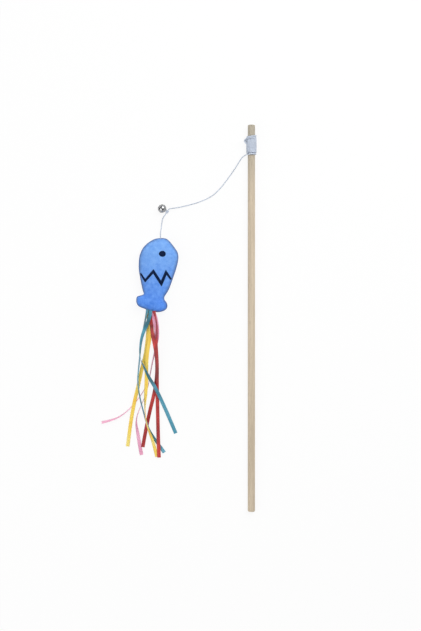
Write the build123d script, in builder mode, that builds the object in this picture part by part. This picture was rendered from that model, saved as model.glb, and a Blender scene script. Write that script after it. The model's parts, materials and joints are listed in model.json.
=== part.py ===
"""Cat teaser wand: a wooden stick with an elastic cord wound round its tip, a bell tied into the cord,
and a stuffed fish on the cord's end with ribbon tails sewn into its tail seam.

The wand lies flat. +Y runs from the stick's butt to its tip, +Z points up from the surface that it lies on,
and the origin is on that surface, in the middle of the stick and the fish. All sizes are millimetres.
"""
import os
from math import atan, cos, degrees, pi, radians, sin, sqrt, tan

from build123d import *

os.makedirs("parts", exist_ok=True)

# Stick
stick_length = 425.0
stick_diameter = 8.0
stick_ease = 1.2          # rounding of the rim at both ends
stick_offset = 60.1       # from the origin to the stick's axis, towards +X
seat_depth = 0.2          # shallow turned seat under the winding

# Cord and its winding on the stick
cord_diameter = 1.15
joint_gap = 0.25          # between a cord's ball end and what it swings on
core_wall = 0.85          # inner layer of turns, pressed flat
core_clearance = 0.05
tip_bare_length = 12.0    # bare wood above the winding
winding_turns = 12.5
turn_gap = 0.45
exit_angle = 55.0         # degrees from the left side, over the top, where the last turn leaves the stick
tuck_angle = 20.0         # degrees from the left side, where the tucked loop stands off the turns
tuck_height = 1.4         # how far the loop stands off
tuck_half_length = 4.2
tuck_centre = 5.5         # from the upper end of the winding
tuck_gap = 0.12

# Bell
bell_shell_diameter = 9.1
bell_wall = 0.35
bell_rim = 0.25           # rolled rim where the two halves meet
bell_rim_width = 0.9
bell_centre_x = -38.1
bell_centre_y = 120.7
bell_heading = -30.3      # degrees from +X to the bell's loop, seen from above
slit_width = 0.9
slit_reach = 52.0         # degrees from the pole to the hole at each end of a slit
slit_hole_diameter = 1.7
slit_turn = 30.0
loop_wire_diameter = 0.7
loop_mean_radius = 1.3
loop_centre_height = 0.75  # from the shell to the middle of the loop's eye
pellet_diameter = 2.8
pellet_clearance = 0.05
knot_diameter = 3.1
knot_tunnel_clearance = 0.15
knot_stub_length = 0.9
knot_stub_heading = -122.0  # degrees from +X to the lower cord, seen from above

# Fish
fish_crown = 9.0          # half thickness of the stuffed body
tail_crown = 6.5          # half thickness of the stuffed tail
swell = 0.6               # how fast the body fills out from its narrow ends
cloth_wall = 1.0
fish_swing_x = -39.6
fish_swing_y = 88.9
head_stub_length = 0.3    # cord that shows between the ball end and the head
anchor_depth = 7.0        # from the head's tip to the knot inside
anchor_diameter = 4.4
anchor_clearance = 0.05
eye_diameter = 6.8
eye_across = 2.2
eye_along = 16.9
zigzag_width = 2.4
thread_depth = 0.3        # embroidery sunk into the cloth, flush with its face

# Ribbons
ribbon_width = 4.0
ribbon_thickness = 0.25
ribbon_pitch = 0.45       # from one ribbon to the next in the pile
ribbon_floor = 0.2        # lowest ribbon above the surface
pocket_radius = 8.0       # opening in the tail seam that the ribbons swing in
pocket_clearance = 0.45   # above and below the pile of ribbons
slope_start = 9.0         # distances from the stitch between which the ribbons come down
slope_end = 42.0
stitch_diameter = 0.9
stitch_clearance = 0.05
stitch_run = 18.0         # from the tail's left end, along the tail
stitch_inset = 2.9        # inside the tail's lower edge

# An arc takes this share of the shorter run beside it
arc_share = 0.45

# The body's outline from the head's tip: distance along it, left edge, right edge
body_outline = [
    (0.1, -3.1, 3.5),
    (2.2, -9.3, 9.1),
    (5.5, -14.1, 12.3),
    (11.0, -19.4, 16.1),
    (17.6, -22.2, 19.3),
    (24.2, -23.2, 19.8),
    (33.0, -23.5, 17.6),
    (41.8, -21.9, 14.2),
    (50.6, -20.2, 11.0),
    (59.4, -18.4, 7.4),
    (64.4, -17.4, 4.6),
    (71.0, -15.2, 3.0),
]

# The tail's outline from its left end: distance along it, upper edge, lower edge
tail_start = (-26.5, -67.4)
tail_heading = -12.0
tail_outline = [
    (0.5, -1.6, 1.4),
    (3.0, -6.0, 3.6),
    (6.6, -7.1, 5.3),
    (13.2, -7.1, 7.1),
    (21.5, -6.9, 8.4),
    (27.5, -6.6, 7.7),
    (31.1, -5.4, 6.2),
    (34.1, -3.2, 3.4),
    (35.2, -1.1, 1.1),
]

# The zigzag band's middle line, from the head's tip
zigzag_points = [(-20.6, -39.4), (-17.2, -46.2), (-7.9, -36.1), (0.8, -49.5), (6.4, -37.4), (11.0, -44.2)]

# Each ribbon's middle line, from the stitch, in the order that they lie in the pile, lowest first
ribbon_routes = {
    "pink_ribbon_left": [
        (0, 0), (3.2, -9.0), (6.6, -20.5), (7.0, -33.5), (3.9, -46.5), (0.8, -60.5),
        (-2.0, -76.0), (-7.6, -90.5), (-16.8, -103.5), (-28.0, -115.5), (-41.0, -123.6), (-54.3, -126.5),
    ],
    "pink_ribbon_low": [
        (0, 0), (1.4, -10.0), (3.4, -22.0), (3.8, -35.5), (2.6, -50.0), (0.4, -65.0), (-2.6, -80.5),
        (-6.9, -96.5), (-13.2, -110.5), (-16.8, -124.0), (-14.6, -138.0), (-12.9, -150.5), (-10.8, -161.9),
    ],
    "yellow_ribbon_left": [
        (0, 0), (-2.6, -10.5), (-3.4, -22.5), (-4.4, -37.0), (-6.6, -53.0), (-10.6, -67.5),
        (-13.6, -83.5), (-17.9, -101.0), (-21.6, -120.5), (-24.2, -137.5), (-26.0, -152.1),
    ],
    "red_ribbon_left": [
        (0, 0), (0.9, -10.0), (0.6, -22.0), (2.4, -34.5), (5.3, -48.0), (6.5, -63.0),
        (5.7, -79.0), (3.1, -95.0), (-1.4, -113.0), (-5.9, -134.0), (-9.4, -153.1),
    ],
    "teal_ribbon_low": [
        (0, 0), (-5.2, -10.5), (-8.6, -23.0), (-12.0, -38.5), (-12.6, -54.0), (-14.4, -69.5), (-14.2, -85.5),
        (-11.9, -101.5), (-7.6, -119.0), (-2.9, -134.5), (5.3, -147.5), (14.2, -159.1),
    ],
    "yellow_ribbon_right": [
        (0, 0), (-0.8, -10.0), (-1.2, -22.0), (-1.8, -34.0), (-4.3, -47.0), (-5.5, -62.5), (-5.3, -79.0),
        (-6.5, -97.0), (-7.0, -113.5), (-5.4, -129.0), (-0.6, -141.5), (3.4, -153.0), (6.3, -163.8),
    ],
    "red_ribbon_right": [
        (0, 0), (2.6, -9.5), (5.0, -21.5), (7.0, -34.5), (7.2, -48.5), (6.6, -63.5),
        (6.2, -80.0), (6.5, -99.0), (7.0, -120.0), (7.6, -143.0), (8.5, -164.5),
    ],
    "teal_ribbon_right": [
        (0, 0), (-3.4, -11.5), (-8.0, -25.0), (-11.4, -39.5), (-12.2, -53.5),
        (-7.9, -66.0), (1.0, -82.0), (9.6, -99.0), (18.4, -118.5), (26.8, -137.3),
    ],
}

# Worked out from the sizes above
cord_radius = cord_diameter / 2
stick_radius = stick_diameter / 2
seat_radius = stick_radius - seat_depth
core_radius = seat_radius + core_wall
turn_radius = core_radius + core_clearance + cord_radius
winding_radius = turn_radius + cord_radius
winding_pitch = cord_diameter + turn_gap
winding_length = winding_turns * winding_pitch + cord_diameter
winding_top = stick_length - tip_bare_length
winding_bottom = winding_top - winding_length

# The stick lies on the rim of its butt and on the lowest turn, so it rises a little towards the tip
stick_rise = atan((winding_radius - stick_radius) / (winding_bottom - stick_ease))
stick_plane = Plane(
    origin=(stick_offset, -stick_length / 2, stick_radius * cos(stick_rise) - stick_ease * sin(stick_rise)),
    x_dir=(-1, 0, 0),
    z_dir=(0, cos(stick_rise), sin(stick_rise)),
)


def save(builder, name):
    """Label a finished piece and write it as its own node."""
    builder.part.label = name
    export_step(builder.part, f"parts/{name}.step")


def bend_radii(name, points):
    """The largest arc that the two runs beside each inner point of a route allow."""
    radii = []
    for before, here, after in zip(points, points[1:], points[2:]):
        run_in = here - before
        run_out = after - here
        half_turn = radians(run_in.get_angle(run_out) / 2)
        radii.append(arc_share * min(run_in.length, run_out.length) / tan(half_turn))
    print(name, "bend radii", [round(radius, 1) for radius in radii])
    return radii


def compare_volume(name, volume, section, length):
    """Print a swept piece's volume beside its section times its length."""
    print(name, "length", round(length, 1), "volume", round(volume, 2), "expected", round(section * length, 2))


def add_biarc(start, start_direction, end, end_direction):
    """Draw two arcs, tangent to each other and to the directions at both ends."""
    chord = end - start
    both = start_direction + end_direction
    square = both.dot(both) - 4
    linear = -2 * chord.dot(both)
    reach = (-linear - sqrt(linear ** 2 - 4 * square * chord.dot(chord))) / (2 * square)
    first_corner = start + start_direction * reach
    second_corner = end - end_direction * reach
    middle = (first_corner + second_corner) / 2
    TangentArc(start, middle, tangent=start_direction)
    TangentArc(middle, end, tangent=second_corner - first_corner)


def wound_point(turn):
    """A point of the winding's middle line and its direction, counted in turns from the upper end."""
    angle = radians(exit_angle + 360 * (winding_turns - turn))
    along = winding_top - cord_radius - winding_pitch * turn
    place = Vector(turn_radius * cos(angle), turn_radius * sin(angle), along)
    turning = 2 * pi * turn_radius
    way = Vector(turning * sin(angle), -turning * cos(angle), -winding_pitch).normalized()
    start = stick_plane.from_local_coords(place)
    return start, (stick_plane.from_local_coords(place + way) - start).normalized()


def half_lens(outline, start, run, across, crown, inset=0.0, sink=0.0):
    """The upper half of a stuffed form: a loft through half-lens sections that stand on the seam."""
    widest = max(high - low for distance, low, high in outline)
    with BuildPart() as half:
        for distance, low, high in outline:
            rise = crown * ((high - low) / widest) ** swell - inset - sink
            with BuildSketch(Plane(origin=start + run * distance, x_dir=across, z_dir=across.cross(up))):
                with BuildLine():
                    Line((low + inset, 0), (high - inset, 0))
                    ThreePointArc((high - inset, 0), ((low + high) / 2, rise), (low + inset, 0))
                make_face()
        loft()
    return half.part


def tail_lower_edge(run):
    """How far the tail's lower edge is from the line along the tail, at a distance from its left end."""
    for (before, _, low_before), (after, _, low_after) in zip(tail_outline, tail_outline[1:]):
        if before <= run <= after:
            return low_before + (low_after - low_before) * (run - before) / (after - before)


up = Vector(0, 0, 1)

# Stick, with the seat for the winding
with BuildPart(stick_plane) as stick:
    Cylinder(stick_radius, stick_length, align=(Align.CENTER, Align.CENTER, Align.MIN))
    fillet(stick.edges().filter_by(GeomType.CIRCLE), stick_ease)
    with BuildSketch(stick_plane.offset(winding_bottom)):
        Circle(stick_radius)
        Circle(seat_radius, mode=Mode.SUBTRACT)
    extrude(amount=winding_length, mode=Mode.SUBTRACT)
save(stick, "stick")

# Inner layer of the winding, plain under the turns that show
with BuildPart() as winding_core:
    with BuildSketch(stick_plane.offset(winding_bottom)):
        Circle(core_radius)
        Circle(seat_radius, mode=Mode.SUBTRACT)
    extrude(amount=winding_length)
save(winding_core, "winding_core")

# Outer layer of the winding: one unbroken cord in half turns, straight for one diameter at both ends
half_turns = [wound_point(number / 2) for number in range(round(winding_turns * 2) + 1)]
winding_start, start_way = half_turns[0]
winding_end, exit_way = half_turns[-1]
exit_point = winding_end + exit_way * cord_diameter
with BuildPart() as cord_winding:
    with BuildLine() as turns:
        Line(winding_start - start_way * cord_diameter, winding_start)
        for (here, way), (there, next_way) in zip(half_turns, half_turns[1:]):
            add_biarc(here, way, there, next_way)
        Line(winding_end, exit_point)
    with BuildSketch(Plane(origin=turns.line @ 0, z_dir=turns.line % 0)):
        Circle(cord_radius)
    sweep()
save(cord_winding, "cord_winding")
compare_volume("cord_winding", cord_winding.part.volume, pi * cord_radius ** 2, turns.wire().length)

# Least gap between one turn and the next, on points along the winding
points_in_turn = 24
turn_points = [turns.wire() @ (number / (points_in_turn * winding_turns))
               for number in range(round(points_in_turn * winding_turns) + 1)]
least_gap = min(
    (near - far).length
    for number, near in enumerate(turn_points)
    for far in turn_points[number + points_in_turn // 2:]
) - cord_diameter
print("cord_winding least gap to itself", round(least_gap, 3))

# Loop of the cord's tucked end, standing off the turns at the upper left
tuck_base = winding_radius + cord_radius + tuck_gap
tuck_plane = Plane(
    origin=stick_plane.from_local_coords((0, 0, winding_top - tuck_centre)),
    x_dir=stick_plane.x_dir * cos(radians(tuck_angle)) + stick_plane.y_dir * sin(radians(tuck_angle)),
    z_dir=stick_plane.x_dir * sin(radians(tuck_angle)) - stick_plane.y_dir * cos(radians(tuck_angle)),
)
with BuildPart() as winding_tuck:
    with BuildLine(tuck_plane) as tuck:
        ThreePointArc(
            (tuck_base, -tuck_half_length), (tuck_base + tuck_height, 0), (tuck_base, tuck_half_length)
        )
    with BuildSketch(Plane(origin=tuck.line @ 0, z_dir=tuck.line % 0)):
        Circle(cord_radius)
    sweep()
save(winding_tuck, "winding_tuck")

# Places on the bell: its own axis lies flat and points at the loop, and the loop's eye stands upright
bell_radius = bell_shell_diameter / 2
bell_inner_radius = bell_radius - bell_wall
bell_height = bell_radius + bell_rim
bell_way = Vector(cos(radians(bell_heading)), sin(radians(bell_heading)), 0)
bell_centre = Vector(bell_centre_x, bell_centre_y, bell_height)
loop_centre = bell_centre + bell_way * (bell_radius + loop_centre_height)
knot_centre = loop_centre + bell_way * loop_mean_radius
knot_radius = knot_diameter / 2
loop_wire_radius = loop_wire_diameter / 2
bell_plane = Plane(origin=bell_centre, x_dir=up.cross(bell_way), z_dir=bell_way)
bell_section = Plane(origin=bell_centre, x_dir=bell_way, z_dir=bell_way.cross(up))
bell_axis = Axis(bell_centre, bell_way)

# Bell cap, the half with the loop, and its rolled rim
with BuildPart() as bell_cap:
    with BuildSketch(bell_section):
        with BuildLine():
            CenterArc((0, 0), bell_radius, 0, 90)
            CenterArc((0, 0), bell_inner_radius, 0, 90)
            Line((bell_inner_radius, 0), (bell_radius, 0))
            Line((0, bell_inner_radius), (0, bell_radius))
        make_face()
        with Locations((bell_rim_width / 2, bell_inner_radius)):
            Rectangle(bell_rim_width, bell_wall + bell_rim, align=(Align.CENTER, Align.MIN))
        Circle(bell_inner_radius, mode=Mode.SUBTRACT)
    revolve(axis=bell_axis)
save(bell_cap, "bell_cap")

# Bell cup, with two crossing slits that end in round holes
slit_offset = bell_radius * sin(radians(slit_reach))
slit_depth = bell_radius * cos(radians(slit_reach))
with BuildPart() as bell_cup:
    with BuildSketch(bell_section):
        with BuildLine():
            CenterArc((0, 0), bell_radius, 90, 90)
            CenterArc((0, 0), bell_inner_radius, 90, 90)
            Line((0, bell_inner_radius), (0, bell_radius))
            Line((-bell_inner_radius, 0), (-bell_radius, 0))
        make_face()
    revolve(axis=bell_axis)
    with BuildSketch(bell_plane.offset(-bell_radius)):
        with Locations(Rotation(0, 0, slit_turn)):
            Rectangle(2 * slit_offset, slit_width)
            Rectangle(slit_width, 2 * slit_offset)
            with PolarLocations(slit_offset, 4):
                Circle(slit_hole_diameter / 2)
    extrude(amount=bell_radius - slit_depth + slit_hole_diameter, mode=Mode.SUBTRACT)
save(bell_cup, "bell_cup")

# Wire loop, its legs on the cap
with BuildPart() as bell_loop:
    with Locations(loop_centre):
        Torus(loop_mean_radius, loop_wire_radius)
    with Locations(bell_centre):
        Sphere(bell_radius, mode=Mode.SUBTRACT)
save(bell_loop, "bell_loop")

# Pellet, lying loose in the bottom of the bell
pellet_radius = pellet_diameter / 2
pellet_drop = bell_inner_radius - pellet_radius - pellet_clearance
with BuildPart() as bell_pellet:
    with Locations(bell_centre - up * pellet_drop):
        Sphere(pellet_radius)
save(bell_pellet, "bell_pellet")

# Knot round the loop's wire, with the stub that the lower cord swings on
stub_way = Vector(cos(radians(knot_stub_heading)), sin(radians(knot_stub_heading)), 0)
with BuildPart() as bell_knot:
    with Locations(knot_centre):
        Sphere(knot_radius)
    with BuildSketch(Plane(origin=knot_centre, z_dir=stub_way)):
        Circle(cord_radius)
    extrude(amount=knot_radius + knot_stub_length)
    with Locations(loop_centre):
        Torus(loop_mean_radius, loop_wire_radius + knot_tunnel_clearance, mode=Mode.SUBTRACT)
save(bell_knot, "bell_knot")

# Cord from the winding to the bell's knot, lying on the surface between them
upper_pivot = exit_point + exit_way * (joint_gap + cord_radius)
upper_points = [
    upper_pivot,
    Vector(51.6, 177.6, 7.4),
    Vector(47.4, 171.6, 5.0),
    Vector(42.3, 163.8, 2.6),
    Vector(34.6, 152.9, 0.95),
    Vector(26.0, 141.8, 0.62),
    Vector(16.6, 133.4, 0.65),
    Vector(4.0, 127.6, 0.62),
    Vector(-8.6, 124.0, 0.7),
    Vector(-18.6, 121.2, 1.9),
    Vector(-26.6, 119.9, 4.0),
    knot_centre,
]
with BuildPart() as upper_cord:
    with BuildLine() as upper_route:
        FilletPolyline(*upper_points, radius=bend_radii("upper_cord", upper_points))
    with BuildSketch(Plane(origin=upper_route.line @ 0, z_dir=upper_route.line % 0)):
        Circle(cord_radius)
    sweep()
    compare_volume("upper_cord", upper_cord.part.volume, pi * cord_radius ** 2, upper_route.wire().length)
    with Locations(upper_pivot):
        Sphere(cord_radius)
    with Locations(knot_centre):
        Sphere(knot_radius, mode=Mode.SUBTRACT)
save(upper_cord, "upper_cord")

# Places on the fish: the seam lies level, and the head's tip is just under the end of the cord
seam_height = fish_crown
fish_pivot = Vector(fish_swing_x, fish_swing_y, seam_height)
head_tip = fish_pivot - Vector(0, cord_radius + joint_gap + head_stub_length, 0)
seam_plane = Plane(origin=head_tip)

# Cord from the knot to the fish's head, with a ball end at both pivots
lower_pivot = knot_centre + stub_way * (knot_radius + knot_stub_length + joint_gap + cord_radius)
lower_points = [
    lower_pivot,
    Vector(-36.4, 109.4, 3.5),
    Vector(-38.1, 103.2, 2.9),
    Vector(-39.3, 97.2, 4.3),
    Vector(-39.8, 92.6, 6.8),
    fish_pivot,
]
with BuildPart() as lower_cord:
    with BuildLine() as lower_route:
        FilletPolyline(*lower_points, radius=bend_radii("lower_cord", lower_points))
    with BuildSketch(Plane(origin=lower_route.line @ 0, z_dir=lower_route.line % 0)):
        Circle(cord_radius)
    sweep()
    compare_volume("lower_cord", lower_cord.part.volume, pi * cord_radius ** 2, lower_route.wire().length)
    with Locations(lower_pivot, fish_pivot):
        Sphere(cord_radius)
save(lower_cord, "lower_cord")

# Upper halves of the fish's stuffed forms: outer cloth, stuffing, and the cloth under the embroidery
to_right = Vector(1, 0, 0)
to_tail = Vector(0, -1, 0)
along_tail = Vector(cos(radians(tail_heading)), sin(radians(tail_heading)), 0)
down_tail = along_tail.cross(up)
tail_corner = head_tip + Vector(*tail_start, 0)
stitch_place = tail_corner + along_tail * stitch_run + down_tail * (tail_lower_edge(stitch_run) - stitch_inset)
body_form = (body_outline, head_tip, to_tail, to_right, fish_crown)
tail_form = (tail_outline, tail_corner, along_tail, down_tail, tail_crown)
inner_body_form = (body_outline[1:-1],) + body_form[1:]
inner_tail_form = (tail_outline[1:-1],) + tail_form[1:]
body_outside = half_lens(*body_form)
tail_outside = half_lens(*tail_form)
body_inside = half_lens(*inner_body_form, inset=cloth_wall)
tail_inside = half_lens(*inner_tail_form, inset=cloth_wall)
under_thread = half_lens(*body_form, sink=thread_depth)

# Channel for the cord's end and knot in the head, and pocket for the ribbons in the tail seam
anchor_radius = anchor_diameter / 2
ribbon_names = list(ribbon_routes)
pile_height = (len(ribbon_names) - 1) * ribbon_pitch + ribbon_thickness
pocket_height = pile_height + 2 * pocket_clearance
with BuildPart() as fish_hollows:
    with Locations(head_tip - Vector(0, anchor_depth, 0)):
        Sphere(anchor_radius + anchor_clearance)
    with BuildSketch(Plane(origin=fish_pivot, z_dir=to_tail)):
        Circle(cord_radius + anchor_clearance)
    extrude(amount=anchor_depth)
    with Locations(stitch_place):
        Cylinder(pocket_radius, pocket_height)

# Embroidered eye and zigzag band of the front
with BuildPart() as front_eye:
    with BuildSketch(seam_plane):
        with Locations((eye_across, -eye_along)):
            Circle(eye_diameter / 2)
    extrude(amount=2 * fish_crown)
    add(body_outside, mode=Mode.INTERSECT)
    add(under_thread, mode=Mode.SUBTRACT)
save(front_eye, "front_eye")

with BuildPart() as front_zigzag:
    with BuildSketch(seam_plane):
        with BuildLine():
            Polyline(*zigzag_points)
        trace(line_width=zigzag_width)
    extrude(amount=2 * fish_crown)
    add(body_outside, mode=Mode.INTERSECT)
    add(under_thread, mode=Mode.SUBTRACT)
save(front_zigzag, "front_zigzag")

# Front cloth panel, over body and tail
with BuildPart() as front_panel:
    add(body_outside)
    add(tail_outside)
    add(body_inside, mode=Mode.SUBTRACT)
    add(tail_inside, mode=Mode.SUBTRACT)
    add(fish_hollows.part, mode=Mode.SUBTRACT)
    add(front_eye.part, mode=Mode.SUBTRACT)
    add(front_zigzag.part, mode=Mode.SUBTRACT)
save(front_panel, "front_panel")

# Back cloth panel with its eye and zigzag band, made alike
with BuildPart() as back_panel:
    add(front_panel.part)
    mirror(about=seam_plane, mode=Mode.REPLACE)
save(back_panel, "back_panel")

with BuildPart() as back_eye:
    add(front_eye.part)
    mirror(about=seam_plane, mode=Mode.REPLACE)
save(back_eye, "back_eye")

with BuildPart() as back_zigzag:
    add(front_zigzag.part)
    mirror(about=seam_plane, mode=Mode.REPLACE)
save(back_zigzag, "back_zigzag")

# Stuffing of the body and of the tail
with BuildPart() as body_stuffing:
    add(body_inside)
    mirror(about=seam_plane)
    add(fish_hollows.part, mode=Mode.SUBTRACT)
save(body_stuffing, "body_stuffing")

with BuildPart() as tail_stuffing:
    add(tail_inside)
    add(body_inside, mode=Mode.SUBTRACT)
    mirror(about=seam_plane)
    add(fish_hollows.part, mode=Mode.SUBTRACT)
save(tail_stuffing, "tail_stuffing")

# Knot inside the head, on the end of the cord
with BuildPart() as anchor_knot:
    with Locations(head_tip - Vector(0, anchor_depth, 0)):
        Sphere(anchor_radius)
    with BuildSketch(Plane(origin=head_tip + Vector(0, head_stub_length, 0), z_dir=to_tail)):
        Circle(cord_radius)
    extrude(amount=anchor_depth + head_stub_length)
save(anchor_knot, "anchor_knot")

# Stitch through the folded ribbons, across the pocket
stitch_radius = stitch_diameter / 2
with BuildPart() as ribbon_stitch:
    with Locations(stitch_place):
        Cylinder(stitch_radius, pocket_height)
save(ribbon_stitch, "ribbon_stitch")

# Ribbon tails: each lies in its own layer, level in the pocket and sloping down to the surface outside it
stitch_axis = Axis(stitch_place, up)
ground_plane = Plane(origin=(stitch_place.X, stitch_place.Y, 0))
slope_plane = Plane(origin=ground_plane.origin, x_dir=to_right, z_dir=to_right.cross(up))
pile_bottom = seam_height - pile_height / 2
ribbon_reach = ribbon_width + max(Vector(*point).length for route in ribbon_routes.values() for point in route)
for layer, ribbon_name in enumerate(ribbon_names):
    ribbon_points = [Vector(*point) for point in ribbon_routes[ribbon_name]]
    high = pile_bottom + layer * ribbon_pitch
    low = ribbon_floor + layer * ribbon_pitch
    halfway = ((slope_start + slope_end) / 2, (high + low) / 2)
    with BuildPart() as ribbon:
        with BuildSketch(ground_plane):
            with BuildLine() as ribbon_line:
                FilletPolyline(*ribbon_points, radius=bend_radii(ribbon_name, ribbon_points))
            trace(line_width=ribbon_width)
            Circle(ribbon_width / 2)
            Circle(stitch_radius + stitch_clearance, mode=Mode.SUBTRACT)
        extrude(amount=2 * fish_crown)
        with BuildSketch(slope_plane):
            with BuildLine() as slope:
                Line((0, high), (slope_start, high))
                upper_bend = TangentArc((slope_start, high), halfway, tangent=(1, 0))
                TangentArc(halfway, (slope_end, low), tangent=upper_bend % 1)
                Line((slope_end, low), (ribbon_reach, low))
            with BuildLine():
                add(slope.line.moved(Location((0, ribbon_thickness))))
                Line((0, high), (0, high + ribbon_thickness))
                Line((ribbon_reach, low), (ribbon_reach, low + ribbon_thickness))
            make_face()
        revolve(axis=stitch_axis, mode=Mode.INTERSECT)
    save(ribbon, ribbon_name)
    compare_volume(
        ribbon_name, ribbon.part.volume, ribbon_width * ribbon_thickness, ribbon_line.wire().length
    )

print("stick rises", round(degrees(stick_rise), 3), "degrees, winding radius", round(winding_radius, 3))
print("upper pivot", upper_pivot, "lower pivot", lower_pivot, "fish pivot", fish_pivot)
print("bell pivot", loop_centre, "stitch", stitch_place, "pellet travel", round(2 * pellet_drop, 2))
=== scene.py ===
# %% [markdown]
# # A cat teaser wand
#
# The wand lies flat on a white table and is seen from above: a wooden stick, an elastic cord wound round its
# tip, a small bell tied into the cord, and a stuffed fish with satin ribbon tails on the cord's end.
# Everything is in metres, in the frame that the loaded model already has, so each piece is put where its
# solid lies.

# %% Load the frame
import json
from math import cos, radians, sin, sqrt, tau

import bmesh
import bpy
from mathutils import Matrix, Vector
from mathutils.bvhtree import BVHTree

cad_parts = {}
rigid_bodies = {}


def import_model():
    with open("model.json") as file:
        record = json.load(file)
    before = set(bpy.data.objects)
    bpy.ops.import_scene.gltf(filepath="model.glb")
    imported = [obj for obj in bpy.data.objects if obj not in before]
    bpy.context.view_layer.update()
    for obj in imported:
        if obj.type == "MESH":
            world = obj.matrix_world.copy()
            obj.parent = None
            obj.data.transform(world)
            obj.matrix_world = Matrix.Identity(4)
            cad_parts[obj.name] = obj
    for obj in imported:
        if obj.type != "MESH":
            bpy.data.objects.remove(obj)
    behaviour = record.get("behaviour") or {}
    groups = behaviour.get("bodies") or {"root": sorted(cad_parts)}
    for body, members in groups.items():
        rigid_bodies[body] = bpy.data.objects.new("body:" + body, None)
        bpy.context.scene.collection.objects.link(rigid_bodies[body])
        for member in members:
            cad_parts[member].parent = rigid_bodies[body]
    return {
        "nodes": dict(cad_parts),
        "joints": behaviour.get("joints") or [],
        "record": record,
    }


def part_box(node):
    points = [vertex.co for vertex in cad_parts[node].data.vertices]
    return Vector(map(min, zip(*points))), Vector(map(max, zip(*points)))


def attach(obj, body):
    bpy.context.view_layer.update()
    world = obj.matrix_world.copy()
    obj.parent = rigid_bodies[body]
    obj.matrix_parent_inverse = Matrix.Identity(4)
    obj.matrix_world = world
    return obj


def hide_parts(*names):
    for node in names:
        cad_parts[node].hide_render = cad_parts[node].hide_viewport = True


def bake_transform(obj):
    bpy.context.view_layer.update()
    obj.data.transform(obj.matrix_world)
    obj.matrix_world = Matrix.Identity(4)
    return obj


for leftover in list(bpy.data.objects):
    bpy.data.objects.remove(leftover)
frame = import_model()
nodes = frame["nodes"]
scene = bpy.context.scene
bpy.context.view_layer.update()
pivots = {joint["name"]: Vector(joint["pos_m"]) for joint in frame["joints"] if "pos_m" in joint}
mounts = {mount["name"]: mount for mount in frame["record"]["mounts"]}

# %% [markdown]
# ## The camera
#
# The photograph was taken from straight above. Its scale follows from the stick: 1.1 mm of the table fills
# one pixel. The lens is chosen so that this holds at the height of the stick's middle. A longer lens from
# further off would flatten the fish, and a shorter one would show more of its sides.

# %% Camera over the table
picture_height = 631
pixel_size = 0.0011
camera_distance = 1.4
camera_target = Vector((0.01514, 0.00316, 0.004))

camera_data = bpy.data.cameras.new("camera")
camera_data.lens = camera_data.sensor_width * camera_distance / (picture_height * pixel_size)
camera = bpy.data.objects.new("camera", camera_data)
camera.location = camera_target + Vector((0, 0, camera_distance))
scene.collection.objects.link(camera)
scene.camera = camera
scene.view_settings.view_transform = "Standard"
print("lens", round(camera_data.lens, 1), "mm")

# %% [markdown]
# ## Node tools
#
# Table and finishes are built from nodes. Short functions place a node, link or set its inputs, and give
# back what the next node reads.

# %% Functions that place a node
def link_or_set(tree, socket, value):
    """Link another node's socket to an input, or set a plain value there."""
    if isinstance(value, bpy.types.NodeSocket):
        tree.links.new(value, socket)
    else:
        socket.default_value = value


def set_inputs(tree, node, **values):
    """Link or set a node's inputs by name, and give back the node."""
    for name, value in values.items():
        link_or_set(tree, node.inputs[name.replace("_", " ")], value)
    return node


def math_node(tree, operation, *values):
    """A Math node with its inputs in order."""
    node = tree.nodes.new("ShaderNodeMath")
    node.operation = operation
    for socket, value in zip(node.inputs, values):
        link_or_set(tree, socket, value)
    return node.outputs[0]


def noise_node(tree, vector, scale, detail, roughness=0.5):
    """The value of a Noise Texture."""
    node = tree.nodes.new("ShaderNodeTexNoise")
    set_inputs(tree, node, Vector=vector, Scale=scale, Detail=detail, Roughness=roughness)
    return node.outputs["Fac"]


def mix_colour(tree, factor, first, second):
    """A Mix node for colours. It has sockets of the same names for other kinds of values, which are off."""
    node = tree.nodes.new("ShaderNodeMix")
    node.data_type = "RGBA"
    inputs = {socket.name: socket for socket in node.inputs if socket.enabled}
    for name, value in (("Factor", factor), ("A", first), ("B", second)):
        link_or_set(tree, inputs[name], value)
    return next(socket for socket in node.outputs if socket.enabled)


def ramp_node(tree, factor, low, high):
    """A stretch of a value from low..high to 0..1, held at both ends."""
    node = tree.nodes.new("ShaderNodeMapRange")
    set_inputs(tree, node, Value=factor, From_Min=low, From_Max=high)
    return node.outputs["Result"]


def mapped(tree, vector, scale, start=(0, 0, 0)):
    """Coordinates stretched and shifted by a Mapping node."""
    node = tree.nodes.new("ShaderNodeMapping")
    set_inputs(tree, node, Vector=vector, Location=start, Scale=scale)
    return node.outputs["Vector"]


def axes_of(tree, vector):
    """The sockets X, Y and Z of a vector."""
    return set_inputs(tree, tree.nodes.new("ShaderNodeSeparateXYZ"), Vector=vector).outputs


def bump(tree, shader, height, distance, strength=1.0):
    """Relief on a shader's normal, as deep as distance."""
    node = tree.nodes.new("ShaderNodeBump")
    set_inputs(tree, node, Height=height, Distance=distance, Strength=strength)
    tree.links.new(node.outputs["Normal"], shader.inputs["Normal"])


print("node tools ready")

# %% [markdown]
# ## The light and the table
#
# A product table is lit by large soft boxes, and the room above it is darker than the table. Both matter for
# the bell: polished metal shows nothing but its surroundings. So the sky is white at the horizon and grey
# overhead, and two soft boxes give the object its light. The table looks pure white to the camera and in
# reflections through the Light Path node, while a share of its plain white surface stays, which keeps a
# faint shadow.

# %% Sky, soft boxes and table
sky_strength = 0.88
overhead_grey = 0.13
fade_start = 0.15
fade_end = 0.75
table_size = 6.0
table_drop = 0.0002
paper_white = 0.94
shadow_share = 0.10

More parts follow.
